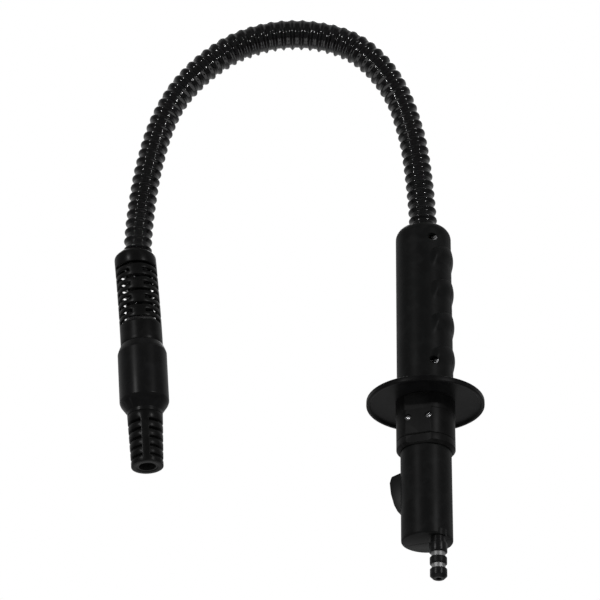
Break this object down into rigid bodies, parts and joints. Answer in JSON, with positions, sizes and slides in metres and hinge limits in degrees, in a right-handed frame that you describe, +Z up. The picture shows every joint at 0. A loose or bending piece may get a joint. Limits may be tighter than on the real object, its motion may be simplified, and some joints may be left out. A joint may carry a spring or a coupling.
{
  "type": "watering wand",
  "caption": "Hose-fed valve handpiece with finger-ridged grip, guard disc, trigger and sealed outlet spigot, on a corrugated hose with a slotted connector.",
  "frame": {"origin": "the hang point, at the underside of the top of the hose's arch", "axes": "+Z up along the handle's axis, +X from the connector's leg of the hose towards the handle, the arch lying in the XZ plane"},
  "size_m": [0.2824, 0.089, 0.4938],
  "materials": {
    "hose": "glossy black corrugated plastic",
    "shell": "satin black moulded plastic",
    "disc": "semi-gloss black plastic",
    "collar": "satin black plastic",
    "trigger": "satin black plastic",
    "relief": "satin black rubber",
    "sleeve": "semi-gloss black moulded rubber",
    "rubber": "black rubber",
    "spigot": "glossy black plastic",
    "steel": "bright plated steel",
    "bright_metal": "polished nickel plate",
    "spring": "drawn spring wire",
    "brass": "machined brass",
    "tube": "natural nylon tube"
  },
  "bodies": {
    "root": {"hose": "hose", "grip_front_shell": "shell", "grip_rear_shell": "shell", "grip_screws": "steel", "hose_cuff": "rubber", "inlet_adapter": "brass", "water_tube": "tube", "guard_disc": "disc", "collar": "collar", "collar_screws": "steel", "lock_ring": "collar", "barrel_front_shell": "shell", "barrel_rear_shell": "shell", "barrel_screws": "steel", "trigger_pin": "steel", "valve_body": "brass", "valve_gland": "brass", "valve_spring": "spring", "spigot_core": "bright_metal", "spigot_gasket": "rubber", "spigot_base": "spigot", "spigot_band": "rubber", "spigot_nose": "spigot", "upper_relief": "relief", "hose_ferrule": "bright_metal", "hose_joiner": "brass", "connector_sleeve": "sleeve", "tail_relief": "relief", "tail_seal": "rubber"},
    "trigger": {"trigger": "trigger"},
    "valve_stem": {"valve_stem": "steel", "valve_seal": "rubber"}
  },
  "joints": [
    {"name": "trigger_press", "type": "hinge", "parent": "root", "child": "trigger", "pos_m": [0.08913, 0.00479, -0.4086], "axis": [0.3746, 0.9272, 0], "range_deg": [0, 12], "stiffness_Nm_per_rad": 0.35, "springref_deg": -8.59},
    {"name": "valve_slide", "type": "slide", "parent": "root", "child": "valve_stem", "axis": [0, 0, -1], "range_m": [0, 0.0023], "deforming": ["valve_spring"]}
  ],
  "couplings": [
    {"joint": "valve_slide", "follows": "trigger_press", "m_per_rad": 0.0105}
  ]
}
